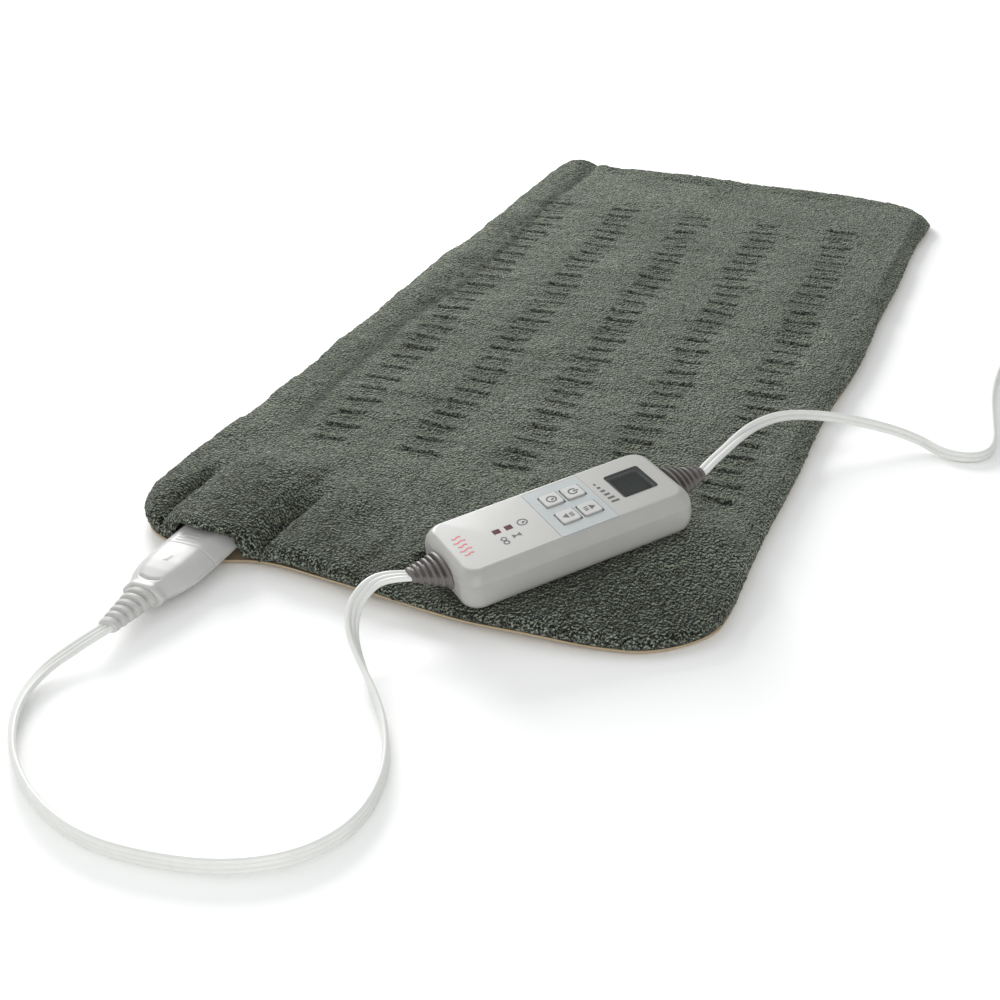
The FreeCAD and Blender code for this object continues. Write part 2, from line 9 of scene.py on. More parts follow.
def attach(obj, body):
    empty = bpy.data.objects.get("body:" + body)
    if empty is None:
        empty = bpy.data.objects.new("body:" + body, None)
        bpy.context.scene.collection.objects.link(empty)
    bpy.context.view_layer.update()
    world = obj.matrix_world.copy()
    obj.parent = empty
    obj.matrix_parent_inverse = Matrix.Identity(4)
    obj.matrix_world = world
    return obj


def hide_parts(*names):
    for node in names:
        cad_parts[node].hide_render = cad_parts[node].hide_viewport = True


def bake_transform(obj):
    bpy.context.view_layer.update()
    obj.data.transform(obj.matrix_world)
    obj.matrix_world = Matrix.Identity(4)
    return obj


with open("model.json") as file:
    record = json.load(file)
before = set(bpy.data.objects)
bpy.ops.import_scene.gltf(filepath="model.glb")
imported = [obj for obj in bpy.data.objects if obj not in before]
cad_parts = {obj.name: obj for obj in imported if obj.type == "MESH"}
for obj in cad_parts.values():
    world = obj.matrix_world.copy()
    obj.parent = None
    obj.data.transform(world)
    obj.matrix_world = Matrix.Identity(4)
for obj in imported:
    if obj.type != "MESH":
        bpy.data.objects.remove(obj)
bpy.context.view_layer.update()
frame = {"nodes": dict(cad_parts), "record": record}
nodes = frame["nodes"]
scene = bpy.context.scene
mm = 0.001  # the dictionaries below are in millimetres unless they say otherwise
print("frame loaded:", len(nodes), "nodes")

# camera

camera = {
    "place": (282.13, -799.51, 383.43),
    "turnDegrees": (59.572, 1.083, 23.691),
    "lens": 52.209,
    "sensor": 36.0,
}


def setCamera():
    data = bpy.data.cameras.new("camera")
    data.lens = camera["lens"]
    data.sensor_width = camera["sensor"]
    eye = bpy.data.objects.new("camera", data)
    eye.location = Vector(camera["place"]) * mm
    eye.rotation_euler = [math.radians(a) for a in camera["turnDegrees"]]
    scene.collection.objects.link(eye)
    scene.camera = eye


setCamera()


# small mesh helpers

def addMesh(name, points, faces, smooth=True):
    mesh = bpy.data.meshes.new(name)
    mesh.from_pydata([tuple(p) for p in points], [], faces)
    mesh.update()
    if smooth:
        mesh.polygons.foreach_set("use_smooth", [True] * len(mesh.polygons))
    piece = bpy.data.objects.new(name, mesh)
    scene.collection.objects.link(piece)
    return piece


def smoothStep(low, high, value):
    t = np.clip((value - low) / (high - low), 0, 1)
    return t * t * (3 - 2 * t)


def hill(value, centre, width):
    return np.exp(-((value - centre) / width) ** 2)


def noiseAt(x, y, z, size, seed=0.0):
    # smooth noise from -1 to 1, one value per point; size is the width of its lumps in mm
    return np.array([noise.noise((a / size + seed, b / size - seed, c / size + 2 * seed))
                     for a, b, c in zip(x, y, z)])


def mound(value, shape):
    # a smooth rise of a given height, middle and half width
    height, middle, half = shape
    return height * hill(value, middle, half)


def ringBand(first, second, perRing):
    # quads between two rings of points, each ring numbered from its first point
    return [(first + k, first + (k + 1) % perRing, second + (k + 1) % perRing, second + k)
            for k in range(perRing)]


def tubeFaces(rings, perRing):
    # the sides of a tube, then a cap on each end
    faces = []
    for i in range(rings - 1):
        faces += ringBand(i * perRing, (i + 1) * perRing, perRing)
    faces.append(tuple(reversed(range(perRing))))
    faces.append(tuple(range((rings - 1) * perRing, rings * perRing)))
    return faces


# cords: flat side-by-side cores, laid along a smooth line

loopCord = {
    "cores": 3,
    "coreRadius": 1.4,
    "corePitch": 2.35,
    "route": [
        (-98, -385.5, 9.8), (-98, -388, 9.8), (-104, -402, 7.4), (-110, -421, 4.3), (-103, -447, 4),
        (-82, -472, 4), (-55, -490, 4), (-26, -498, 4), (3, -496, 4), (30, -489, 4), (52, -474, 4),
        (63, -451, 4), (60, -423, 4), (47, -397, 4), (31, -378, 4.6), (17, -364, 7.4), (7, -353, 12.4),
        (3, -342, 18.6), (4.5, -331.5, 22.8), (8.6, -324.2, 23.9), (17.9, -317.9, 23.3), (20.4, -316.2, 23.1),
    ],
    "twist": [(0, 0), (24, 0), (92, 90), (345, 90), (400, 30), (424, 0)],  # (distance along, degrees)
}

mainsCord = {
    "cores": 2,
    "coreRadius": 1.5,
    "corePitch": 2.8,
    "route": [
        (117.6, -203.4, 36.4), (119.2, -200.6, 36.6), (120, -187, 35.6), (121.5, -168, 33), (123, -145, 30),
        (126, -121, 26), (134, -101, 23), (148, -86, 19), (167, -77, 15.4), (188, -68.5, 9.4),
        (205, -67.5, 5), (217, -74.5, 3.2), (231, -75, 3), (240.5, -67, 3), (242, -52, 3), (238, -28, 3),
        (233.5, 0, 3), (232, 30, 3), (233.5, 58, 3), (235.2, 82, 3.3), (236.45, 100, 3.9),
    ],
    "tail": [(315.55, 104, 10.2), (316.6, 96, 9.4), (317.6, 87, 7.4), (317.5, 76, 6.7), (317.5, 72, 6.7)],
    "twist": [(0, 0), (40, 0), (120, 90)],
}

coil = {
    "centre": (276, 108),
    "outside": 40.1,
    "inside": 30.5,
    "lowZ": 3.9,
    "highZ": 10.0,
    "turns": 7.5,
    "perTurn": 14,
    "climb": 0.5,  # turns before and after the middle one that it takes to rise
    "skip": (2, 1),  # points left out at its two ends, where the straight runs join it
}


def coilPoints():
    # clockwise from the left side: inwards on the floor, up at the inside, and outwards on top
    points = []
    steps = int(coil["turns"] * coil["perTurn"])
    half = coil["turns"] / 2
    for i in range(coil["skip"][0], steps - coil["skip"][1]):
        turn = i / coil["perTurn"]
        angle = math.pi - turn * 2 * math.pi
        inward = min(turn, coil["turns"] - turn) / half
        radius = coil["outside"] + (coil["inside"] - coil["outside"]) * inward
        rise = float(smoothStep(half - coil["climb"], half + coil["climb"], turn))
        x = coil["centre"][0] + radius * math.cos(angle)
        y = coil["centre"][1] + radius * math.sin(angle)
        points.append((x, y, coil["lowZ"] + (coil["highZ"] - coil["lowZ"]) * rise))
    return points


def smoothLine(name, route):
    # the smooth line through the middle of a cord, as points in metres
    curve = bpy.data.curves.new(name, "CURVE")
    curve.dimensions = "3D"
    curve.resolution_u = 7  # steps from one point of the route to the next
    spline = curve.splines.new("NURBS")
    spline.points.add(len(route) - 1)
    for point, place in zip(spline.points, route):
        point.co = (place[0] * mm, place[1] * mm, place[2] * mm, 1)
    spline.order_u = 3
    spline.use_endpoint_u = True
    holder = bpy.data.objects.new(name, curve)
    scene.collection.objects.link(holder)
    mesh = bpy.data.meshes.new_from_object(holder)
    line = np.array([v.co[:] for v in mesh.vertices])
    bpy.data.objects.remove(holder)
    bpy.data.curves.remove(curve)
    bpy.data.meshes.remove(mesh)
    return line


def coreOutline(cord, perCore=7):
    # round cores side by side, joined where they meet, so a groove runs between each two
    radius, pitch, cores = cord["coreRadius"], cord["corePitch"], cord["cores"]
    groove = math.acos(pitch / 2 / radius)
    outline = []
    for i in range(cores):
        middle = (i - (cores - 1) / 2) * pitch
        start = math.pi if i == 0 else math.pi - groove
        end = 0 if i == cores - 1 else groove
        for k in range(perCore + 1):
            if k == 0 and i > 0:
                continue
            angle = start + (end - start) * k / perCore
            outline.append((middle + radius * math.cos(angle), radius * math.sin(angle)))
    lower = [(a, -b) for a, b in reversed(outline)]
    return outline + lower[1:-1]


def flatCord(name, cord, route):
    # the cord's outline swept along its line, turned between flat and on edge; also its line and length
    line = smoothLine(name, route)
    ahead = np.gradient(line, axis=0)
    ahead /= np.linalg.norm(ahead, axis=1)[:, None]
    along = np.concatenate([[0], np.cumsum(np.linalg.norm(np.diff(line, axis=0), axis=1))]) / mm
    stations, degrees = zip(*cord["twist"])
    twist = np.radians(np.interp(along, stations, degrees))
    outline = coreOutline(cord)
    points = []
    for centre, way, turn in zip(line, ahead, twist):
        level = Vector((-way[1], way[0], 0)).normalized()
        up = Vector(way).cross(level)
        wide = level * math.cos(turn) + up * math.sin(turn)
        thick = Vector(way).cross(wide)
        points += [Vector(centre) + (wide * a + thick * b) * mm for a, b in outline]
    piece = addMesh(name, points, tubeFaces(len(line), len(outline)))
    print(name, "length", round(along[-1]), "mm")
    return piece, [tuple(p) for p in line], along[-1] * mm


loopPiece, loopLine, loopLength = flatCord("loop_lead", loopCord, loopCord["route"])
mainsPiece, mainsLine, mainsLength = flatCord("mains_lead", mainsCord, mainsCord["route"] + coilPoints()
                                              + mainsCord["tail"])

# floor and lights

studio = {
    "floorHalf": 4.0,  # metres, like the rest of this dictionary
    "floorColour": (0.985, 0.985, 0.98),
    "floorCloud": (0.99, 0.99, 0.985),
    "cloudSize": 0.9,
    "worldColour": (0.98, 1.0, 1.0, 1),
    "worldStrength": 0.57,
    "lights": {
        "keySoftbox": {"place": (-0.985, 0.93, 0.63), "size": 0.7, "watts": 27},
        "topSoftbox": {"place": (-0.3, 0.2, 1.6), "size": 1.2, "watts": 2.5},
        "leftFill": {"place": (-1.3, -0.6, 0.7), "size": 0.9, "watts": 4},
        "frontFill": {"place": (0.55, -1.35, 0.50), "size": 1.0, "watts": 7},
    },
    "aim": (0.0, -0.1, 0.0),
}


def setStudio():
    world = bpy.data.worlds.new("studio")
    world.use_nodes = True
    background = world.node_tree.nodes["Background"]
    background.inputs["Color"].default_value = studio["worldColour"]
    background.inputs["Strength"].default_value = studio["worldStrength"]
    scene.world = world
    for name, lamp in studio["lights"].items():
        data = bpy.data.lights.new(name, "AREA")
        data.size = lamp["size"]
        data.energy = lamp["watts"]
        light = bpy.data.objects.new(name, data)
        light.location = lamp["place"]
        light.rotation_euler = (Vector(studio["aim"]) - light.location).to_track_quat("-Z", "Y").to_euler()
        scene.collection.objects.link(light)
    h = studio["floorHalf"]
    floor = addMesh("floor", [(-h, -h, 0), (h, -h, 0), (h, h, 0), (-h, h, 0)], [(0, 1, 2, 3)])
    scene.view_settings.view_transform = "Standard"
    return floor


floorPiece = setStudio()
print("camera, cords and studio set")


# shader tools

class Value:
    # a shader socket that takes part in Python sums
    def __init__(self, finish, socket):
        self.finish = finish
        self.socket = socket

    def sum(self, operation, first, second):
        return self.finish.node("ShaderNodeMath", {"operation": operation}, {0: first, 1: second})

    def __add__(self, other):
        return self.sum("ADD", self, other)

    def __sub__(self, other):
        return self.sum("SUBTRACT", self, other)

    def __rsub__(self, other):
        return self.sum("SUBTRACT", other, self)

    def __mul__(self, other):
        return self.sum("MULTIPLY", self, other)

    def __pow__(self, other):
        return self.sum("POWER", self, other)

    __radd__ = __add__
    __rmul__ = __mul__


class Finish:
    # one material: its shader, and the one method that adds every other node
    def __init__(self, name, **uniform):
        self.material = bpy.data.materials.new(name)
        self.material.use_nodes = True
        self.tree = self.material.node_tree
        self.shader = self.tree.nodes["Principled BSDF"]
        for socket, value in uniform.items():
            self.shader.inputs[socket.replace("_", " ")].default_value = value
        self.place = self.node("ShaderNodeTexCoord", {}, {}, "Object")

    def node(self, kind, settings, inputs, out=0):
        made = self.tree.nodes.new(kind)
        for key, value in settings.items():
            setattr(made, key, value)
        for key, value in inputs.items():
            if isinstance(value, Value):
                self.tree.links.new(value.socket, made.inputs[key])
            else:
                made.inputs[key].default_value = value
        return Value(self, made.outputs[out])

    def feed(self, socket, value):
        self.tree.links.new(value.socket, self.shader.inputs[socket])

    def lumps(self, size, detail=2.0, roughness=0.5, place=None):
        # noise whose lumps are size mm wide
        return self.node("ShaderNodeTexNoise", {}, {"Vector": place or self.place, "Scale": 1 / (size * mm),
                                                    "Detail": detail, "Roughness": roughness})

    def blend(self, factor, first, second):
        first, second = [c + (1,) if isinstance(c, tuple) else c for c in (first, second)]
        return self.node("ShaderNodeMix", {"data_type": "RGBA"}, {0: factor, 6: first, 7: second}, 2)

    def between(self, value, low, high):
        # 0 at low, 1 at high, and even in between
        return self.node("ShaderNodeMapRange", {}, {0: value, 1: low, 2: high, 3: 0.0, 4: 1.0})

    def relief(self, height, depth):
        # bumps from a height of 0 to 1, depth mm deep
        self.feed("Normal", self.node("ShaderNodeBump", {}, {"Strength": 1.0, "Distance": depth * mm,
                                                             "Height": height}))


def dimmed(base, share):
    return tuple(c * share for c in base)


plasticLook = {
    "cloud": 9,  # width of its faint clouds
    "cloudEdges": (0.35, 0.75),
    "cloudRough": 0.12,
    "grainRough": 0.06,
}


def moulded(name, base, roughness, grain=0.35, depth=0.012, dusk=0.86, **uniform):
    # moulded plastic or rubber: fine tool grain, soft cloudiness and a little handling wear
    finish = Finish(name, **uniform)
    cloud = finish.lumps(plasticLook["cloud"], 3)
    grains = finish.lumps(grain, 3, 0.6)
    mix = finish.between(cloud, *plasticLook["cloudEdges"])
    finish.feed("Base Color", finish.blend(mix, base, dimmed(base, dusk)))
    finish.feed("Roughness", roughness + (cloud - 0.5) * plasticLook["cloudRough"]
                + (grains - 0.5) * plasticLook["grainRough"])
    finish.relief(grains, depth)
    return finish.material


metalLook = {
    "streak": 0.25,
    "stretch": (1.0, 0.08, 1.0),  # draws its streaks out along y
    "tint": 6,
    "dusk": 0.8,
    "streakRough": 0.2,
    "depth": 0.01,
}


def metal(name, base, roughness):
    finish = Finish(name, Metallic=1.0)
    stretched = finish.node("ShaderNodeVectorMath", {"operation": "MULTIPLY"},
                            {0: finish.place, 1: metalLook["stretch"]})
    streaks = finish.lumps(metalLook["streak"], 3, 0.6, stretched)
    tint = finish.lumps(metalLook["tint"], 2)
    finish.feed("Base Color", finish.blend(tint, base, dimmed(base, metalLook["dusk"])))
    finish.feed("Roughness", roughness + (streaks - 0.5) * metalLook["streakRough"])
    finish.relief(streaks, metalLook["depth"])
    return finish.material


clothLook = {
    "roughness": 0.85,
    "fleck": 0.8,
    "bandScale": 0.314,  # scale of a wave texture whose bands are one metre apart
    "fibre": 1.5,  # in threads
    "patch": 28,
    "mixEdges": (0.4, 0.8),
}


def cloth(name, base, thread, depth):
    # a knitted or felted cloth: ribs both ways, broken by fibre noise
    finish = Finish(name, Roughness=clothLook["roughness"])
    ribs = [finish.node("ShaderNodeTexWave", {"bands_direction": way, "wave_type": "BANDS"},
                        {"Vector": finish.place, "Scale": clothLook["bandScale"] / (thread * mm),
                         "Distortion": 1.2, "Detail": 2.0, "Detail Scale": 1.5}, "Fac") for way in ("X", "Y")]
    fibres = finish.lumps(thread * clothLook["fibre"], 4, 0.65)
    patches = finish.lumps(clothLook["patch"], 2)
    height = ribs[0] * 0.4 + ribs[1] * 0.35 + fibres * 0.5
    mix = finish.between(fibres * 0.6 + patches * 0.4 + ribs[0] * 0.2, *clothLook["mixEdges"])
    finish.feed("Base Color", finish.blend(mix, dimmed(base, clothLook["fleck"]), base))
    finish.relief(height, depth)
    return finish.material


plushLook = {
    "curl": 1.25,  # width of one curl of the pile
    "fine": 0.45,
    "clump": 4.2,
    "nap": 38,
    "lean": (0.40, -0.55, -0.12),  # offset of a second sample of the curls; their difference paints light on one slope of each curl and shade on the other
    "gap": 2.2,  # how strongly that painted light and shade shows
    "litEdges": (0.46, 1.16),
    "napEdges": (0.35, 0.7),
    "contrast": 1.5,
    "tip": (0.335, 0.378, 0.287),
    # colour deep between the curls: darker roots deepened into painted shade
    "root": (0.003, 0.004, 0.003),
    "lightNap": (0.430, 0.478, 0.375),
    # how dark the painted shade is in the stitched grooves and along the left valley
    "paintedGrooveDark": 0.85,
    "depth": 2.2,
    "paintedNearShade": (-215, -290),  # y over which the pile gets a painted shade, darker towards the near edge
    # how deep that painted shade towards the near edge goes
    "nearShadeAmount": 0.12,
}


def plushMaterial():
    finish = Finish("curly_plush", Roughness=0.95, Sheen_Weight=0.10, Sheen_Roughness=0.5,
                    Specular_IOR_Level=0.12)
    # a second sample of the curls, shifted, for the painted light and shade on their slopes
    lightOffsetPlace = finish.node("ShaderNodeVectorMath", {"operation": "ADD"},
                        {0: finish.place, 1: tuple(a * mm for a in plushLook["lean"])})
    curl = finish.lumps(plushLook["curl"], 3, 0.62)
    lightOffsetCurl = finish.lumps(plushLook["curl"], 3, 0.62, lightOffsetPlace)
    fine = finish.lumps(plushLook["fine"], 2, 0.6)
    clump = finish.lumps(plushLook["clump"], 3)
    nap = finish.lumps(plushLook["nap"], 3)
    # painted shade in the stitched grooves and along the left valley, carried on the cover's points
    groove = finish.node("ShaderNodeAttribute", {"attribute_name": "paintedGrooveShade"}, {}, "Fac")
    height = curl * 0.9 + fine * 0.25 + clump * 0.35
    along = finish.node("ShaderNodeSeparateXYZ", {}, {0: finish.place}, "Y")
    paintedNearShade = finish.between(along, *(y * mm for y in plushLook["paintedNearShade"]))
    # painted light and shade: one slope of each curl lit and the other shaded, hollows shaded by height, and
    # the pile shaded towards the near edge
    paintedLightLevel = (curl - lightOffsetCurl) * plushLook["gap"] + height - paintedNearShade * plushLook["nearShadeAmount"]
    lit = finish.between(paintedLightLevel, *plushLook["litEdges"])
    lighter = finish.between(nap, *plushLook["napEdges"])
    tips = finish.blend(lighter, plushLook["tip"], plushLook["lightNap"])
    # the hollows take the near-black root colour, painted shade between the curls
    tufted = finish.blend(lit ** plushLook["contrast"], plushLook["root"], tips)
    shaded = finish.blend(groove * plushLook["paintedGrooveDark"], tufted, plushLook["root"])
    finish.feed("Base Color", shaded)
    finish.relief(height, plushLook["depth"])
    return finish.material


def floorMaterial():
    finish = Finish("studio_floor", Roughness=0.7, Specular_IOR_Level=0.1)
    cloud = finish.lumps(studio["cloudSize"] / mm, 1)
    finish.feed("Base Color", finish.blend(cloud, studio["floorColour"], studio["floorCloud"]))
    return finish.material


finishes = {
    "plush": plushMaterial(),
    "tan_cloth": cloth("tan_tricot", (0.44, 0.345, 0.225), 0.55, 0.12),
    "felt": cloth("needled_felt", (0.80, 0.80, 0.78), 0.9, 0.3),
    "thread": cloth("spun_thread", (0.74, 0.74, 0.71), 0.25, 0.06),
    "wire_white": moulded("wire_sleeve", (0.80, 0.79, 0.75), 0.45),
    "cutout_black": moulded("cutout_shell", (0.03, 0.03, 0.032), 0.5),
    "socket_plastic": moulded("socket_nylon", (0.70, 0.69, 0.65), 0.5),
    "contact_metal": metal("tinned_contact", (0.80, 0.79, 0.76), 0.3),
    "connector_white": moulded("connector_vinyl", (0.48, 0.48, 0.462), 0.45, dusk=0.95),
    "cord_white": moulded("cord_vinyl", (0.70, 0.705, 0.68), 0.34, 0.6, 0.01, 0.95),
    "case_white": moulded("case_plastic", (0.36, 0.354, 0.338), 0.36, 0.22, 0.006, 0.96),
    "relief_grey": moulded("relief_rubber", (0.125, 0.112, 0.106), 0.5, 0.4, 0.02, 0.85),
    "panel_blue": moulded("panel_film", (0.335, 0.362, 0.366), 0.5, 0.15, 0.005, 0.95),
    "key_white": moulded("key_rubber", (0.41, 0.41, 0.393), 0.45, 0.25, 0.008, 0.95),
    "board": moulded("board_laminate", (0.05, 0.20, 0.09), 0.4),
    "part_black": moulded("part_epoxy", (0.025, 0.025, 0.027), 0.5),
    "display": moulded("display_glass", (0.045, 0.056, 0.054), 0.15, 0.5, 0.002, 0.7),
    "clear_window": moulded("window_clear", (0.030, 0.036, 0.034), 0.10, 3.0, 0.001, 0.9, Alpha=0.45),
    "led_window": moulded("window_red", (0.09, 0.008, 0.010), 0.15, 0.5, 0.002, 0.6),
    "led": moulded("led_red", (0.50, 0.018, 0.025), 0.35, 0.5, 0.002),
    "capacitor": moulded("film_capacitor", (0.46, 0.22, 0.05), 0.35),
    "steel": metal("zinc_screw", (0.62, 0.63, 0.64), 0.32),
    "blade_metal": metal("nickel_blade", (0.78, 0.75, 0.68), 0.22),
    "tie_strap": cloth("tie_strap", (0.045, 0.045, 0.048), 0.5, 0.1),
}
slotOf = {part["node"]: part["material_slot"] for part in frame["record"]["subparts"]}
for nodeName, node in nodes.items():
    for materialSlot in node.material_slots:
        materialSlot.material = finishes[slotOf[nodeName]]
floorPiece.data.materials.append(floorMaterial())
print("finishes:", len(finishes))


def dress(piece, slotName):
    piece.data.materials.append(finishes[slotName])


def settle(piece, slotName, body, *replaced):
    # its finish, the body it rides on and the nodes it stands for
    dress(piece, slotName)
    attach(piece, body)
    if replaced:
        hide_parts(*replaced)


def addShell(name, shell):
    mesh = bpy.data.meshes.new(name)
    shell.to_mesh(mesh)
    shell.free()
    piece = bpy.data.objects.new(name, mesh)
    scene.collection.objects.link(piece)
    return piece


# pad: curly cover over a tan backing

pad = {
    "halfWidth": 152.5,
    "halfLength": 305.0,
    "corner": 34.0,
    "roll": 5.4,  # radius of the rounded edge
    "tuck": 0.80,  # how far the edge curls under, in half turns
    "thick": 13.2,
    "floorGap": 1.7,  # height of the cover's hem over the table
    "columns": 236,
    "rowStep": 1.25,
    "cornerRows": 42,
    "wall": 1.3,
    "lowest": 0.9,
    "nearHem": (-270, -315),  # y over which the hem starts to rise
    "hemRise": [(3.6, 0, 55), (2.0, 75, 30), (1.0, -55, 18)],
    "unevenness": [(1.8, 74, 3.1), (1.3, 29, 7.7), (0.6, 12, 1.3)],  # height, width and seed
}
# how far its outline bows out or draws in, as distance, middle in x and half width
outline = {
    "nearBow": (13.0, 42, 88),
    "mouthBow": (10.0, -98, 19),
    "leftBow": (2.0, -138, 14),
    "cornerIn": (3.0, 4.0),
}
# rolls and dips of the cloth, as height, middle and half width, in x unless the name says along
folds = {
    "leftRoll": (3.6, -140, 11),
    "leftValley": (3.0, -122, 4.2),
    "farLeft": (3.4, -140, 30),
    "farRight": (3.0, 150, 45),
    "farSeamAlong": (1.6, 297, 6),
    "farSeamDipAlong": (1.2, 286, 3.2),
    "rightDrop": 2.6,
    "nearRightDrop": 4.4,
    "nearSwell": (1.2, 20, 60),
    "nearLeftRoll": (3.4, -139, 9),
    "nearMidRoll": (3.2, -50, 15),
    "nearMidDip": (1.925, -24, 6),
    "leftCrease": (8.2, -123.6, 4.8),
    "rightCrease": (8.0, -71, 5.2),
    "lobeDents": 1.3,
}
tuft = {
    "cell": 2.3,
    "height": 0.85,
    "level": 0.55,
    "clumps": (0.45, 4.6, 5.0),  # height, width and seed
    "curls": (0.45, 1.7, 9.0),
    "bandFlat": 0.55,  # how much flatter they lie along the ladders, and in their grooves
    "grooveFlat": 0.4,
    "paintedValleyShade": (0.6, -122, 3.0),  # darkness, middle and half width of the painted shade line in the left valley
}
ladder = {
    "turnDegrees": 3.3,
    "centre": (3.5, 12.0),
    "pitchAcross": 54.25,
    "pitchAlong": 15.5,
    "sideColumns": 2,
    "sideRungs": 13,
    "halfRung": 10.0,
    "grooveWidth": 1.9,
    "grooveDepth": 3.6,
    "puff": 1.3,
    "sink": 0.9,
    "sway": 1.2,
    "bandHalf": 15.0,
    "bandEnd": (200, 222),
    "rungEnd": (-2.5, 2.0),  # where a groove starts and stops fading, from its end
    "clear": (2, 20),  # distance from the remote over which the stitching comes in
}
mouth = {
    "x": -98.0,
    "halfWidth": 17.6,
    "lobeHalf": 29.0,
    "arch": [(0, 18.8), (11, 18.6), (17.8, 14.4), (21, 13.0)],  # hem's height by distance from its middle
    "openTo": (0.6, 3.0),  # past its half width, where the hem starts and ends its way down
    "lobeZ": 24.0,
    "lobePower": 2.4,
    "lobeFrom": (-212, -254),
    "valleyZ": 6.0,
}
# what the cover lies over: x half width, x middle, y from, y to, least height and room for stitches over it
inside = [
    (139, 3.5, -253, 277, 9.2, 3.3),
    (19.5, -98, -340, -256, 19.3, 1.0),
]
remote = {
    "base": (69.8, -259.72, 17.70),
    "turnDegrees": (1.0, -5.5, 50.3),  # roll, pitch and heading
    "middle": -0.8,
    "halfLength": 60.5,
    "halfWidth": 26.0,
    "slide": 22.0,  # how far it is drawn towards the near edge as the lead is unplugged
    "gap": 1.0,
    "tuftGap": 0.6,
    "restRoom": 0.9,  # room for the tufts under it at rest, and where it is drawn over the cloth
    "sweepRoom": 1.4,
    "humpReach": 34,
    "humpShare": 0.92,
    "sweepEdges": (2, 16),
}
freeHeight = 1e3  # stands for no ceiling
remoteAxes = Euler([math.radians(a) for a in remote["turnDegrees"]]).to_matrix()


def remotePoint(along, across, up):
    # a place on the remote, in mm from the middle of its underside
    return Vector(remote["base"]) + remoteAxes @ Vector((along, across, up))


def outlineWarp(x, y):
    # the cloth's edge is not straight: it bows at the near end and waves a little along the sides
    near = smoothStep(-120, -300, y)
    hem = smoothStep(-255, -305, y)
    bow = near * mound(x, outline["nearBow"])
    bow += hem * (mound(x, outline["mouthBow"]) + mound(x, outline["leftBow"]))
    corner = hem * smoothStep(95, 150, x)
    cornerX, cornerY = outline["cornerIn"]
    side = smoothStep(60, 150, np.abs(x)) * np.sign(x)
    wave = 1.6 * np.sin(y / 47.0 + 0.6) + 1.1 * np.sin(y / 23.0 + x / 160)
    farWave = smoothStep(200, 300, y) * 1.5 * np.sin(x / 31.0)
    return x + side * wave * 0.8 - corner * cornerX, y - bow + corner * cornerY + farWave


def remoteFloor(x, y):
    # height of the remote's tilted underside over a place, and how near that place is to the remote
    bx, by, bz = remote["base"]
    ax, ay = remoteAxes.col[0].xy.normalized()
    tx, ty, tz = remoteAxes.col[2]
    plane = bz - (tx * (x - bx) + ty * (y - by)) / tz
    u = (x - bx) * ax + (y - by) * ay - remote["middle"]
    v = -(x - bx) * ay + (y - by) * ax
    outU = np.maximum(np.abs(u) - remote["halfLength"], 0)
    outV = np.maximum(np.abs(v) - remote["halfWidth"], 0)
    return plane, np.hypot(outU, outV)


def ladderField(x, y):
    # how deep the stitched rungs pull the cloth in, from 0 to 1, and the puff between them
    turn = math.radians(ladder["turnDegrees"])
    dx, dy = x - ladder["centre"][0], y - ladder["centre"][1]
    across = dx * math.cos(turn) + dy * math.sin(turn)
    along = -dx * math.sin(turn) + dy * math.cos(turn)
    column = np.clip(np.round(across / ladder["pitchAcross"]), -ladder["sideColumns"], ladder["sideColumns"])
    offAcross = across - column * ladder["pitchAcross"] + ladder["sway"] * np.sin(along / 19.0 + column * 2.1)
    slant = along + offAcross * 0.05 * np.sin(along / 33.0 + column)
    rung = np.clip(np.round(slant / ladder["pitchAlong"]), -ladder["sideRungs"], ladder["sideRungs"])
    offAlong = slant - rung * ladder["pitchAlong"]
    reach = ladder["halfRung"] * (1 + 0.15 * np.sin(rung * 2.7 + column * 1.3))
    fadeFrom, fadeTo = ladder["rungEnd"]
    ends = 1 - smoothStep(reach + fadeFrom, reach + fadeTo, np.abs(offAcross))
    depth = 0.9 + 0.1 * np.sin(rung * 1.9 + column * 4.0)
    groove = hill(offAlong, 0, ladder["grooveWidth"]) * ends * depth
    band = hill(offAcross, 0, ladder["bandHalf"]) * (1 - smoothStep(*ladder["bandEnd"], np.abs(along)))
    puff = band * np.cos(2 * math.pi * slant / ladder["pitchAlong"])
    return groove, band, puff


def valleySway(y):
    # how far the valley inside the left roll wanders sideways
    return 3.0 * np.sin(y / 43) + 1.2 * np.sin(y / 17)


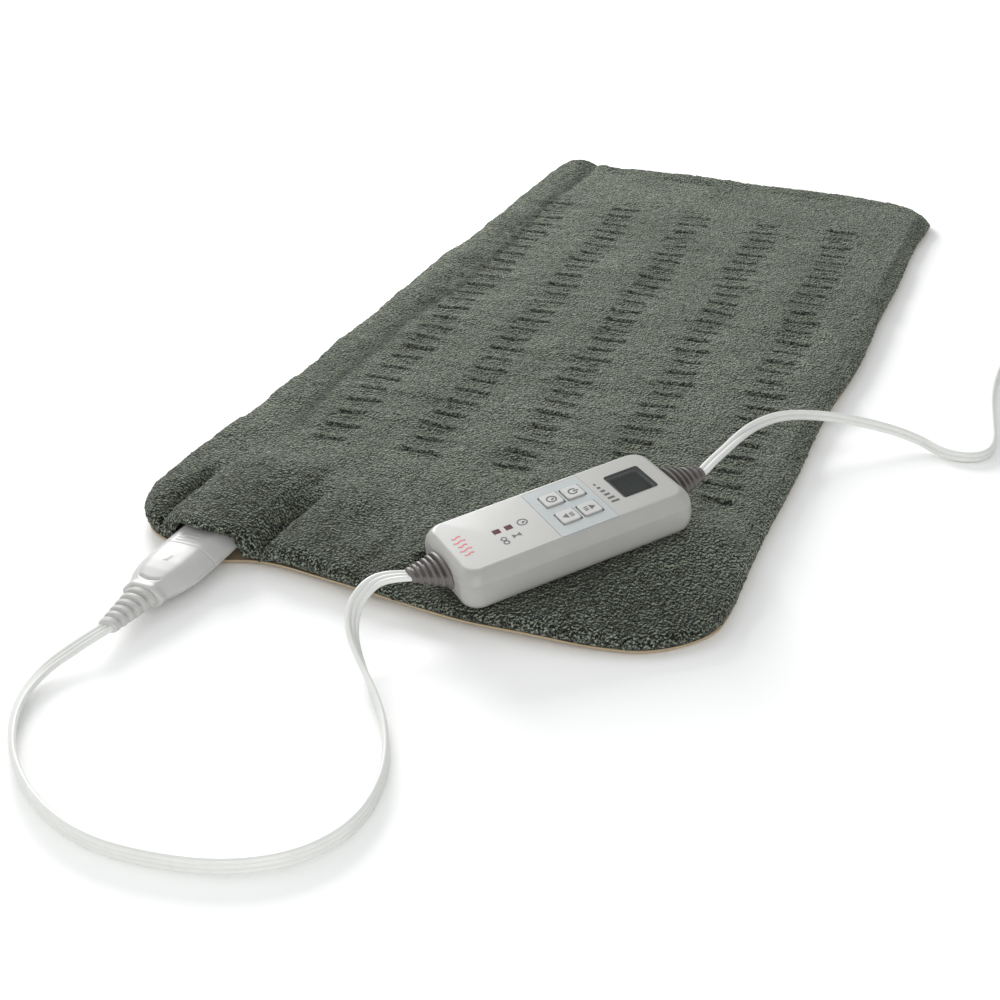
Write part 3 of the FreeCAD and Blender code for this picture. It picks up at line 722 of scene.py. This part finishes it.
def padTop(x, y):
    # height of the cover's smooth top, before the tufts
    flat = np.zeros_like(x)
    z = flat + pad["thick"]
    for height, width, seed in pad["unevenness"]:
        z += height * noiseAt(x, y, flat, width, seed)
    # soft raised roll along the left side, with a wavering valley inside it
    leftRun = smoothStep(-225, -150, y)
    swell = 0.75 + 0.3 * np.sin(y / 52.0 + 0.5) + 0.15 * np.sin(y / 19.0)
    z += leftRun * swell * (mound(x - 2.5 * np.sin(y / 37), folds["leftRoll"])
                            - mound(x - valleySway(y), folds["leftValley"]))
    z += smoothStep(150, 295, y) * (mound(x, folds["farLeft"]) - mound(x, folds["farRight"]))
    # turned-in seam along the far end
    seamRun = (1 - smoothStep(60, 150, x)) * smoothStep(-146, -104, x)
    z += seamRun * (mound(y, folds["farSeamAlong"]) - mound(y, folds["farSeamDipAlong"]))
    # right side rolls down
    z -= folds["rightDrop"] * smoothStep(128, 152, x) * smoothStep(-330, -100, y)
    # near edge: thin hem at the right, gathers at the left
    z -= folds["nearRightDrop"] * smoothStep(40, 140, x) * smoothStep(-262, -312, y)
    z += mound(x, folds["nearSwell"]) * hill(y, -300, 20)
    gather = smoothStep(-228, -280, y)
    z += 1.2 * noiseAt(x * 0.3, y, flat, 16, 4.4) * smoothStep(-300, -240, y)
    z += gather * (mound(x, folds["nearLeftRoll"]) + mound(x, folds["nearMidRoll"])
                   - mound(x - 14 * gather, folds["nearMidDip"]))
    # a crease on each side of the lobe, the right one bending away as it runs back
    z -= smoothStep(-205, -285, y) * mound(x + 4.0 * smoothStep(-300, -230, y), folds["leftCrease"])
    z -= smoothStep(-232, -286, y) * mound(x - 12 * ((y + 305) / 60) ** 2, folds["rightCrease"])
    # the lobe over the connector
    off = (x - mouth["x"]) / mouth["lobeHalf"]
    dome = np.sqrt(np.clip(1 - np.abs(off) ** mouth["lobePower"], 0, 1))
    ramp = smoothStep(*mouth["lobeFrom"], y) * (np.abs(off) < 1)
    valley = np.minimum(z, mouth["valleyZ"])
    dents = folds["lobeDents"] * noiseAt(x, y, flat, 19, 6.2) * ramp
    z += ramp * np.maximum(valley + (mouth["lobeZ"] - valley) * dome - z, 0) + dents
    for half, middle, fromY, toY, least, room in inside:
        over = (1 - smoothStep(half, half + 4, np.abs(x - middle))) * smoothStep(fromY - 4, fromY, y) \
            * (1 - smoothStep(toY, toY + 8, y))
        z = np.maximum(z, z + (least + room - z) * over)
    # the cloth humps up under the remote, and never reaches it
    plane, away = remoteFloor(x, y)
    near = 1 - smoothStep(0, remote["humpReach"], away)
    sweptPlane, swept = remoteFloor(x, y + remote["slide"])
    over = np.maximum(z - (sweptPlane - remote["gap"] - remote["sweepRoom"]), 0)
    z -= over * (1 - smoothStep(*remote["sweepEdges"], swept))
    return np.maximum(z, z + (plane - remote["gap"] - remote["restRoom"] - z) * near * remote["humpShare"])


def padLow(x, y):
    # height of the cover's hem: up at the connector's mouth, and a little up along the bowed near edge
    near = smoothStep(*pad["nearHem"], y)
    low = pad["floorGap"] + near * sum(mound(x, rise) for rise in pad["hemRise"])
    off = np.abs(x - mouth["x"])
    arch = np.interp(off, *zip(*mouth["arch"]))
    opening = near * (1 - smoothStep(*mouth["openTo"], off - mouth["halfWidth"]))
    return low + (arch - low) * opening


def padGrid(roll, tuck, columns, rowStep, cornerRows, inset=0.0):
    # a rounded-rectangle grid, bent down round the edge; returns places, how far they curl, and faces
    innerX = pad["halfWidth"] - inset - roll
    innerY = pad["halfLength"] - inset - roll
    innerCorner = pad["corner"] - inset - roll
    reach = roll * math.pi * tuck
    outX, outY, outCorner = innerX + reach, innerY + reach, innerCorner + reach
    straight = outY - outCorner
    middleRows = int(2 * straight / rowStep)
    rows = [(-straight + 2 * straight * i / middleRows, outX) for i in range(middleRows + 1)]
    bend = [math.pi / 2 * (k + 1) / cornerRows for k in range(cornerRows)]
    ends = [(straight + outCorner * math.sin(a), outX - outCorner + outCorner * math.cos(a)) for a in bend]
    rows = [(-y, w) for y, w in reversed(ends)] + rows + ends
    side = np.linspace(-1, 1, columns + 1)
    px = np.concatenate([side * w for y, w in rows])
    py = np.concatenate([np.full(columns + 1, y) for y, w in rows])
    qx = np.abs(px) - (innerX - innerCorner)
    qy = np.abs(py) - (innerY - innerCorner)
    cx, cy = np.maximum(qx, 0), np.maximum(qy, 0)
    length = np.maximum(np.hypot(cx, cy), 1e-9)
    beyond = np.maximum(length + np.minimum(np.maximum(qx, qy), 0) - innerCorner, 0)
    nx, ny = cx / length * np.sign(px), cy / length * np.sign(py)
    curl = beyond / roll
    x = px - nx * beyond + nx * roll * np.sin(curl)
    y = py - ny * beyond + ny * roll * np.sin(curl)
    x, y = outlineWarp(x, y)
    faces = []
    wide = columns + 1
    for r in range(len(rows) - 1):
        for c in range(columns):
            a = r * wide + c
            faces.append((a, a + 1, a + 1 + wide, a + wide))
    return x, y, curl, faces


def makeCover():
    x, y, curl, faces = padGrid(pad["roll"], pad["tuck"], pad["columns"], pad["rowStep"], pad["cornerRows"])
    top = padTop(x, y)
    low = padLow(x, y)
    groove, band, puff = ladderField(x, y)
    flatPart = np.clip(1 - curl, 0, 1)
    plane, away = remoteFloor(x, y)
    clear = smoothStep(*ladder["clear"], away)
    top = top + flatPart * clear * (ladder["puff"] * puff - ladder["sink"] * band
                                    - ladder["grooveDepth"] * groove)
    z = low + (top - low) * (1 + np.cos(curl)) / 2
    piece = addMesh("plush_cover", np.column_stack([x, y, z]) * mm, faces)
    count = len(piece.data.vertices)
    normals = np.empty(count * 3)
    piece.data.vertices.foreach_get("normal", normals)
    normals = normals.reshape(-1, 3)
    cell = tuft["cell"]
    cells = np.array([noise.voronoi((a / cell, b / cell, c / cell))[0][0] for a, b, c in zip(x, y, z)])
    tufts = tuft["height"] * (tuft["level"] - cells)
    for height, width, seed in (tuft["clumps"], tuft["curls"]):
        tufts += height * noiseAt(x, y, z, width, seed)
    tufts *= 1 - tuft["bandFlat"] * band - tuft["grooveFlat"] * groove
    places = np.column_stack([x, y, z]) + normals * tufts[:, None]
    sweptPlane, swept = remoteFloor(x, y + remote["slide"])
    ceiling = np.where(away < 3, plane - remote["tuftGap"], freeHeight)
    ceiling = np.minimum(ceiling, np.where(swept < 2, sweptPlane - remote["tuftGap"], freeHeight))
    for half, middle, fromY, toY, least, room in inside:
        over = (np.abs(x - middle) < half) & (y > fromY) & (y < toY) & (curl < 1)
        places[:, 2] = np.where(over, np.maximum(places[:, 2], least), places[:, 2])
    places[:, 2] = np.clip(places[:, 2], pad["lowest"], ceiling)
    piece.data.vertices.foreach_set("co", (places * mm).ravel())
    # painted shade for the pile's colour: dark in the stitched grooves and along the left valley
    shade = piece.data.attributes.new("paintedGrooveShade", "FLOAT", "POINT")
    crease = mound(x - valleySway(y), tuft["paintedValleyShade"])
    crease *= smoothStep(-235, -150, y) * (1 - smoothStep(255, 290, y))
    shade.data.foreach_set("value", (np.maximum(groove * clear, crease) * flatPart).astype(np.float32))
    wall = piece.modifiers.new("wall", "SOLIDIFY")
    wall.thickness = pad["wall"] * mm
    wall.offset = -1
    settle(piece, "plush", "pad", "cover_top")
    return piece


backing = {
    "columns": 70,
    "rowStep": 4.4,
    "cornerRows": 16,
    "thick": 1.3,
    "edgeUp": 1.3,
    "inset": 1.2,
    "roll": 3.0,
    "tuck": 0.45,
    "lift": 0.12,
    "waves": (0.10, 30, 2.0),  # height, width and seed
    "hemRise": [(3.3, 0, 55), (1.8, 75, 30), (0.8, -55, 18)],
}


def makeBacking():
    x, y, curl, faces = padGrid(backing["roll"], backing["tuck"], backing["columns"], backing["rowStep"],
                                backing["cornerRows"], backing["inset"])
    low = smoothStep(*pad["nearHem"], y) * sum(mound(x, rise) for rise in backing["hemRise"])
    height, width, seed = backing["waves"]
    low += backing["edgeUp"] * smoothStep(0.3, 1.4, curl)
    low += backing["lift"] + height * noiseAt(x, y, np.zeros_like(x), width, seed)
    count = len(x)
    points = np.concatenate([np.column_stack([x, y, low + backing["thick"]]), np.column_stack([x, y, low])])
    wide = backing["columns"] + 1
    rows = count // wide
    rim = list(range(wide)) + [r * wide + wide - 1 for r in range(1, rows)]
    rim += [count - 2 - c for c in range(wide - 1)] + [r * wide for r in range(rows - 2, 0, -1)]
    under = [tuple(count + i for i in reversed(f)) for f in faces]
    walls = [(rim[i], rim[i - 1], count + rim[i - 1], count + rim[i]) for i in range(len(rim))]
    piece = addMesh("tan_backing", points * mm, faces + under + walls)
    settle(piece, "tan_cloth", "pad", "cover_back")


coverPiece = makeCover()
makeBacking()
print("pad made:", len(coverPiece.data.polygons), "faces on the cover")

# remote: eased shells, slotted reliefs and printed marks

easing = {
    "weld": 0.002,
    "flatDegrees": 0.5,  # facets that differ by less become one
    "creaseDegrees": 33,
    "bevelDegrees": 50,
    "bevel": 0.25,
}


def softened(nodeName, body):
    # the same shape as the node, with its sharp edges eased and its narrow facets shaded smooth
    shell = bmesh.new()
    shell.from_mesh(nodes[nodeName].data)
    bmesh.ops.remove_doubles(shell, verts=shell.verts, dist=easing["weld"] * mm)
    bmesh.ops.dissolve_limit(shell, angle_limit=math.radians(easing["flatDegrees"]), verts=shell.verts,
                             edges=shell.edges)
    piece = addShell(nodeName + "_eased", shell)
    piece.data.polygons.foreach_set("use_smooth", [True] * len(piece.data.polygons))
    piece.data.set_sharp_from_angle(angle=math.radians(easing["creaseDegrees"]))
    edges = piece.modifiers.new("edges", "BEVEL")
    edges.width = easing["bevel"] * mm
    edges.segments = 2
    edges.limit_method = "ANGLE"
    edges.angle_limit = math.radians(easing["bevelDegrees"])
    shading = piece.modifiers.new("shading", "WEIGHTED_NORMAL")
    shading.keep_sharp = True
    shading.weight = 80
    settle(piece, slotOf[nodeName], body, nodeName)
    return piece


for shellNode in ("case_top", "case_bottom"):
    softened(shellNode, "controller")
plugPiece = softened("plug_body", "lead")

caseRelief = {
    "body": "controller", "root": (26.0, 14.4), "tip": (8.6, 5.6), "neck": (14.4, 8.4, 4.6), "slots": 5,
}
reliefs = {
    "case_relief_pad": {
        **caseRelief,
        "origin": remotePoint(-61.3, 0, 11.4),
        "axes": (-remoteAxes.col[0], remoteAxes.col[1], remoteAxes.col[2]),
        "length": 15.7, "lean": 3.0, "lift": 1.6,
    },
    "case_relief_mains": {
        **caseRelief,
        "origin": remotePoint(59.7, 0, 11.4),
        "axes": (remoteAxes.col[0], remoteAxes.col[1], remoteAxes.col[2]),
        "length": 18.8, "lean": 0.0, "lift": 0.0,
    },
    "connector_relief": {
        "body": "lead", "root": (17.0, 11.6), "tip": (10.0, 6.4), "neck": (16.0, 10.6, 0.6), "slots": 5,
        "origin": Vector((-98.0, -362.0, 9.8)),
        "axes": (Vector((0, -1, 0)), Vector((1, 0, 0)), Vector((0, 0, 1))),
        "length": 26.0, "lean": 0.0, "lift": 0.0,
    },
}
sleeve = {
    "around": 72,
    "step": 0.28,
    "taper": 0.9,  # power of the taper from root to tip
    "firstSlot": 0.25,  # in pitches from the root
    "slot": (0.30, 0.42, 0.78, 0.90),  # shares of a pitch where a slot starts, is deep, shallows and ends
    "slotDepth": 0.34,
    "webDepth": 0.07,
    "web": (0.86, 0.95),
    "noseIn": 0.25,
}


def slottedRelief(nodeName, shape):
    # tapered sleeve with slots above and below, joined by webs at both sides
    ahead, across, up = shape["axes"]
    neckWide, neckHigh, neckLength = shape["neck"]
    length, step = shape["length"], sleeve["step"]
    stations = np.arange(-neckLength, length + step, step).clip(max=length)
    pitch = length / (shape["slots"] + 0.9)
    starts, deep, shallows, ends = sleeve["slot"]
    points = []
    for s in stations:
        t = max(s, 0) / length
        wide, high = [a + (b - a) * t ** sleeve["taper"] for a, b in zip(shape["root"], shape["tip"])]
        if s < 0:
            wide, high = neckWide, neckHigh
        phase = s / pitch - sleeve["firstSlot"]
        slot = 0.0
        if 0 < phase < shape["slots"]:
            part = phase % 1
            slot = float(smoothStep(starts, deep, part) * (1 - smoothStep(shallows, ends, part)))
        nose = 1 - sleeve["noseIn"] * float(smoothStep(length - 0.9, length + 0.3, s))
        for k in range(sleeve["around"]):
            a = 2 * math.pi * k / sleeve["around"]
            web = float(smoothStep(*sleeve["web"], abs(math.cos(a))))
            keep = nose * (1 - slot * (sleeve["slotDepth"] * (1 - web) + sleeve["webDepth"] * web))
            sideways = shape["lean"] * t + wide / 2 * math.cos(a) * keep
            upwards = shape["lift"] * t + high / 2 * math.sin(a) * keep
            points.append(shape["origin"] + ahead * s + across * sideways + up * upwards)
    faces = tubeFaces(len(stations), sleeve["around"])
    piece = addMesh(nodeName + "_slotted", [p * mm for p in points], faces)
    piece.data.set_sharp_from_angle(angle=math.radians(50))
    settle(piece, slotOf[nodeName], shape["body"], nodeName)


for reliefNode, reliefShape in reliefs.items():
    slottedRelief(reliefNode, reliefShape)

# places on the remote are along and across its top, from its middle
marks = {
    "stand": 0.07,
    "sunk": 0.02,
    "stroke": 0.66,
    "redStroke": 0.9,
    "waveStroke": 0.5,
    "topHeight": 21.0,
    "keyHeight": 21.7,
    "keyStroke": 0.78,
    "clockRadius": 2.3,
    "clock": (-19.2, 0.2),
    "glass": (-26.0, -7.6),
    "rings": (-32.4, -8.6),
    "bars": (24.9, -0.8),
    "heatWaves": (-50.3, -1.0),
    "keys": {"key_power": (11.9, 8.1), "key_auto_off": (0.5, 8.1),
             "key_heat_up": (11.9, -8.1), "key_heat_down": (0.5, -8.1)},
}


def arcPoints(radius, start, end, steps=26, centre=(0, 0)):
    angles = [math.radians(start + (end - start) * i / steps) for i in range(steps + 1)]
    return [(centre[0] + radius * math.cos(a), centre[1] + radius * math.sin(a)) for a in angles]


def wavePoints(length, height, waves, centre=(0, 0), steps=22):
    return [(centre[0] + height * math.sin(2 * math.pi * waves * i / steps),
             centre[1] + length * (i / steps - 0.5)) for i in range(steps + 1)]


def strokeRails(points, width, closed):
    # an even-width line through flat points, as a left and a right rail
    count = len(points)
    rails = []
    for i, p in enumerate(points):
        before = points[i - 1] if closed or i else p
        after = points[(i + 1) % count] if closed or i < count - 1 else p
        way = (Vector(after) - Vector(before)).normalized()
        side = Vector((-way.y, way.x)) * width / 2
        rails.append((Vector(p) + side, Vector(p) - side))
    return rails


class Ink:
    # gathers flat marks on the remote's top, then makes one thin raised print of them
    def __init__(self, height, stroke):
        self.height, self.stroke = height, stroke
        self.points, self.faces = [], []

    def lay(self, ring, place):
        # a mark reads with the display's end of the remote uppermost
        base = len(self.points)
        for x, y in ring:
            along, across = place[0] + y, place[1] - x
            self.points += [remotePoint(along, across, self.height - marks["sunk"]),
                            remotePoint(along, across, self.height + marks["stand"])]
        return base

    def line(self, points, place, width=None, closed=False):
        rails = strokeRails(points, width or self.stroke, closed)
        base = self.lay([p for pair in rails for p in pair], place)
        count = len(rails)
        for i in range(count if closed else count - 1):
            a, b = base + 4 * i, base + 4 * ((i + 1) % count)
            self.faces += [(a + 1, a + 3, b + 3, b + 1), (a, b, b + 2, a + 2), (a, a + 1, b + 1, b),
                           (a + 2, b + 2, b + 3, a + 3)]
        if not closed:
            for i, flip in ((0, 1), (count - 1, -1)):
                a = base + 4 * i
                self.faces.append((a, a + 2, a + 3, a + 1)[::flip])

    def solid(self, points, place):
        base, count = self.lay(points, place), len(points)
        self.faces.append(tuple(base + 2 * i + 1 for i in range(count)))
        self.faces.append(tuple(base + 2 * i for i in reversed(range(count))))
        for i in range(count):
            a, b = base + 2 * i, base + 2 * ((i + 1) % count)
            self.faces.append((a, b, b + 1, a + 1))

    def print(self, name, slotName, body):
        piece = addMesh(name, [p * mm for p in self.points], self.faces, smooth=False)
        build = bmesh.new()
        build.from_mesh(piece.data)
        bmesh.ops.recalc_face_normals(build, faces=build.faces)
        build.to_mesh(piece.data)
        build.free()
        settle(piece, slotName, body)


def clock(ink, place, radius):
    ink.line(arcPoints(radius, 0, 360, 27)[:-1], place, closed=True)
    ink.line([(0, -0.1 * radius), (0, 0.62 * radius)], place)
    ink.line([(0, 0), (0.48 * radius, 0)], place)


def printMarks():
    dark = Ink(marks["topHeight"], marks["stroke"])
    clock(dark, marks["clock"], marks["clockRadius"])
    glass = [(-1.5, 2.1), (1.5, 2.1), (0.2, 0), (1.5, -2.1), (-1.5, -2.1), (-0.2, 0)]
    dark.solid(glass, marks["glass"])
    for way in (-1, 1):
        dark.line(arcPoints(1.25, 0, 360, 24, (way * 1.5, 0))[:-1], marks["rings"], closed=True)
    for i in range(6):
        left, right = -9.4 + 3.4 * i, -7.8 + 3.4 * i
        foot, head = -1.9, -0.9 + 0.62 * i
        dark.solid([(left, foot), (right, foot), (right, head), (left, head)], marks["bars"])
    dark.print("marks_dark", "part_black", "controller")
    red = Ink(marks["topHeight"], marks["redStroke"])
    for i in range(5):
        red.line(wavePoints(4.6 + 1.6 * (i % 2), 0.55, 1.0, (-7.2 + 3.6 * i, 0)), marks["heatWaves"])
    red.print("marks_red", "led", "controller")
    for body, place in marks["keys"].items():
        ink = Ink(marks["keyHeight"], marks["keyStroke"])
        if body == "key_power":
            ink.line(arcPoints(2.05, 122, 418, 24), place)
            ink.line([(0, 0.2), (0, 2.9)], place)
        if body == "key_auto_off":
            clock(ink, place, marks["clockRadius"])
        if body in ("key_heat_up", "key_heat_down"):
            way = 1 if body == "key_heat_up" else -1
            ink.solid([(-2.0, 0.1 * way), (2.0, 0.1 * way), (0, 2.9 * way)][::way], place)
            for x in (-1.2, 0, 1.2):
                ink.line(wavePoints(2.0, 0.24, 1.0, (x, -1.9 * way), 12), place, marks["waveStroke"])
        ink.print("mark_" + body, "part_black", body)


printMarks()

# connector body

connector = {
    "x": -98.0,
    "z": 9.8,
    "sections": [(34.0, 15.6, -286.6), (34.0, 15.6, -334.0), (33.0, 15.4, -341.0), (29.5, 14.6, -348.0),
                 (23.5, 13.0, -354.5), (21.3, 12.4, -357.8), (23.5, 13.0, -360.3), (20.5, 12.0, -362.0)],
    "topShare": 0.52,  # of its half width that is flat on top, and of its half height at the sides
    "sideShare": 0.16,
    "around": 132,
    "step": 0.42,
    "soften": 1.1,  # how far a change of section is eased along it
    "parting": (0.03, -326.0, 0.42),
    "endIn": 0.10,
    "topEdges": (0.80, 0.97),  # share of the half height where its top starts, for the marks on it
    "tongue": (14.6, 5.8),  # half width and half height of the part that goes into the socket
}
thumb = {"y": -353.6, "bow": 0.053125, "half": 6.0, "reach": 6.2, "width": 0.75, "depth": 0.9, "fade": 1.2}
bars = {"fromX": -104.5, "toX": -93.5, "rows": (-318.6, -320.8, -323.0), "half": 0.42, "stand": 0.28,
        "fade": 0.4}
pip = {"y": -338.5, "half": 2.6, "width": 0.6, "stand": 0.4, "slant": 0.18, "fade": 0.5}


def eightSided():
    # unit outline with long slopes between its top and its sides, and its corners rounded off
    a, b = connector["topShare"], connector["sideShare"]
    ring = [(a, 1), (1, b), (1, -b), (a, -1), (-a, -1), (-1, -b), (-1, b), (-a, 1)]
    for cut in (0.13, 0.25, 0.25):
        softer = []
        for p, q in zip(ring, ring[1:] + ring[:1]):
            softer += [tuple(m + (n - m) * f for m, n in zip(p, q)) for f in (cut, 1 - cut)]
        ring = softer
    ring = np.array(ring + ring[:1])
    run = np.concatenate([[0], np.cumsum(np.hypot(*np.diff(ring, axis=0).T))])
    even = np.linspace(0, run[-1], connector["around"], endpoint=False)
    return np.interp(even, run, ring[:, 0]), np.interp(even, run, ring[:, 1])


def makeConnector():
    # rounded sections eased into each other, with a thumb dent, three bars and a small dash on top
    wide, high, y = zip(*connector["sections"])
    stations = np.arange(y[0], y[-1] - 0.01, -connector["step"])
    reach = np.arange(-3, 3.01, 0.25)
    weights = np.exp(-(reach / connector["soften"]) ** 2)
    weights /= weights.sum()
    backwards = [-a for a in y]

    def eased(values):
        return sum(w * np.interp(-stations + r, backwards, values) for w, r in zip(weights, reach))

    acrossUnit, upUnit = eightSided()
    halfWide, halfHigh = eased(wide) / 2, eased(high) / 2
    seam = 1 - mound(stations, connector["parting"])
    endRound = 1 - connector["endIn"] * smoothStep(-361.2, -362.2, stations)
    dx = (halfWide * seam * endRound)[:, None] * acrossUnit[None, :]
    dz = (halfHigh * seam * endRound)[:, None] * upUnit[None, :]
    place = np.repeat(stations[:, None], connector["around"], axis=1)
    onTop = smoothStep(*connector["topEdges"], upUnit)[None, :]
    smile = hill(place, thumb["y"] - thumb["bow"] * (thumb["half"] ** 2 - dx ** 2), thumb["width"])
    smile *= 1 - smoothStep(thumb["reach"] - thumb["fade"], thumb["reach"], np.abs(dx))
    dz -= thumb["depth"] * smile * onTop
    along = place - pip["y"]
    dash = hill(dx, pip["slant"] * along, pip["width"])
    dash *= 1 - smoothStep(pip["half"] - pip["fade"], pip["half"], np.abs(along))
    dz += pip["stand"] * dash * onTop
    x = connector["x"] + dx
    between = smoothStep(bars["fromX"] - bars["fade"], bars["fromX"], x)
    between *= 1 - smoothStep(bars["toX"], bars["toX"] + bars["fade"], x)
    for row in bars["rows"]:
        dz += bars["stand"] * onTop * between * hill(place, row, bars["half"])
    points = np.stack([x, place, connector["z"] + dz], axis=2).reshape(-1, 3)
    piece = addMesh("connector_body", points * mm, tubeFaces(len(stations), connector["around"]))
    piece.data.set_sharp_from_angle(angle=math.radians(60))
    settle(piece, "connector_white", "lead", "connector_handle")


def makeTongue():
    # the nose's narrow front only, because the rest of it lies inside the body made above
    tongue = bmesh.new()
    tongue.from_mesh(nodes["connector_nose"].data)
    halfX, halfZ = connector["tongue"]
    outside = [v for v in tongue.verts if abs(v.co.x / mm - connector["x"]) > halfX
               or abs(v.co.z / mm - connector["z"]) > halfZ]
    bmesh.ops.delete(tongue, geom=outside, context="VERTS")
    bmesh.ops.remove_doubles(tongue, verts=tongue.verts, dist=easing["weld"] * mm)
    settle(addShell("connector_tongue", tongue), "connector_white", "lead", "connector_nose")


makeConnector()
makeTongue()
print("remote, connector and reliefs made")

# coil tie

tie = {
    "angleDegrees": 62,
    "width": 9.0,
    "thick": 0.8,
    "middle": (35.3, 7.0),
    "half": (7.3, 6.5),
    "around": 48,
    "steps": 8,  # across its width
    "swell": 0.35,  # how much thicker it is along its middle
    "square": 0.42,  # power that squares its rings off
    "lowest": 0.1,
}


def makeTie():
    # a strap once round the bundle, as a band of rounded-rectangle rings
    angle = math.radians(tie["angleDegrees"])
    out = Vector((math.cos(angle), math.sin(angle), 0))
    side = Vector((-math.sin(angle), math.cos(angle), 0))
    centre = Vector((coil["centre"][0], coil["centre"][1], 0))
    around, steps = tie["around"], tie["steps"]
    rings = []
    for step in range(steps + 1):
        t = step / steps * 2 - 1
        swell = tie["swell"] * (1 - abs(t) ** 3)
        for grow in (0, tie["thick"] * (0.55 + swell)):
            ring = []
            for k in range(around):
                a = 2 * math.pi * k / around
                squared = [math.copysign(abs(f) ** tie["square"], f) for f in (math.cos(a), math.sin(a))]
                r, z = [middle + (half + grow - tie["thick"]) * f
                        for middle, half, f in zip(tie["middle"], tie["half"], squared)]
                flat = centre + out * r + side * (t * tie["width"] / 2)
                ring.append(flat + Vector((0, 0, max(z, tie["lowest"]))))
            rings.append(ring)
    # an end's inner ring, the outer rings across, and the inner rings back
    order = [0] + [2 * i + 1 for i in range(steps + 1)] + [2 * i for i in range(steps, 0, -1)]
    points = [p * mm for i in order for p in rings[i]]
    faces = []
    for i in range(len(order)):
        faces += ringBand(i * around, (i + 1) % len(order) * around, around)
    piece = addMesh("lead_tie", points, faces)
    settle(piece, "tie_strap", "lead", "coil_tie")
    return piece


tiePiece = makeTie()

dress(loopPiece, "cord_white")
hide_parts("loop_cord")
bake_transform(loopPiece)

dress(mainsPiece, "cord_white")
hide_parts("mains_cord", "mains_cord_tail", "mains_coil")
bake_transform(mainsPiece)
print("cords declared")
